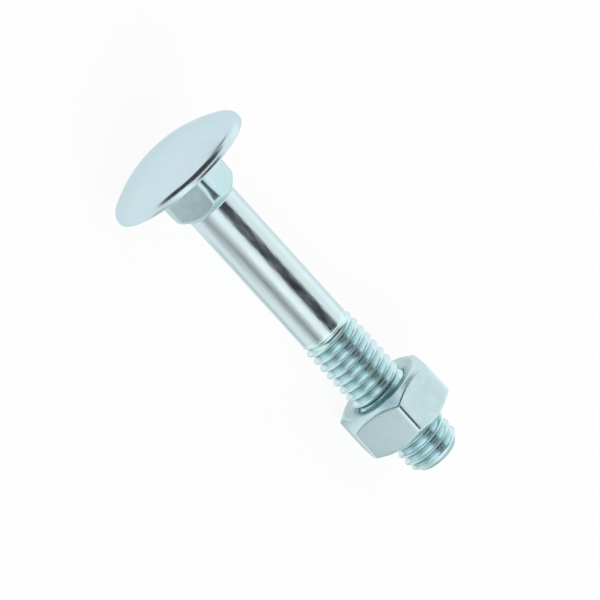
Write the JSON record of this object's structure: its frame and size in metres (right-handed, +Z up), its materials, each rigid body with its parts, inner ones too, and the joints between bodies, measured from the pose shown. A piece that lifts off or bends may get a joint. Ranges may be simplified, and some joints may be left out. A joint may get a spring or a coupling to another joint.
{
  "type": "carriage bolt with nut",
  "caption": "Carriage bolt with a low domed head, a square neck, a round shank and a threaded end, and a hex nut run on to the thread.",
  "frame": {"origin": "on the floor, under the middle of the bolt's box: the bolt lies on its head's rim and on the end of the nut's lower flat", "axes": "+X from the head towards the tip, along the bolt as it lies: its own axis dips 4.65 degrees below +X towards the tip; +Z up"},
  "size_m": [0.042, 0.0154, 0.0154],
  "materials": {
    "bolt_zinc": "bright zinc plating with a pale blue passivation",
    "nut_zinc": "bright zinc plating with a pale blue passivation"
  },
  "bodies": {
    "bolt": {"bolt": "bolt_zinc"},
    "nut": {"nut": "nut_zinc"}
  },
  "joints": [
    {"name": "nut_travel", "type": "slide", "parent": "bolt", "child": "nut", "axis": [0.9967, 0, -0.081], "range_m": [-0.007, 0.007]}
  ]
}
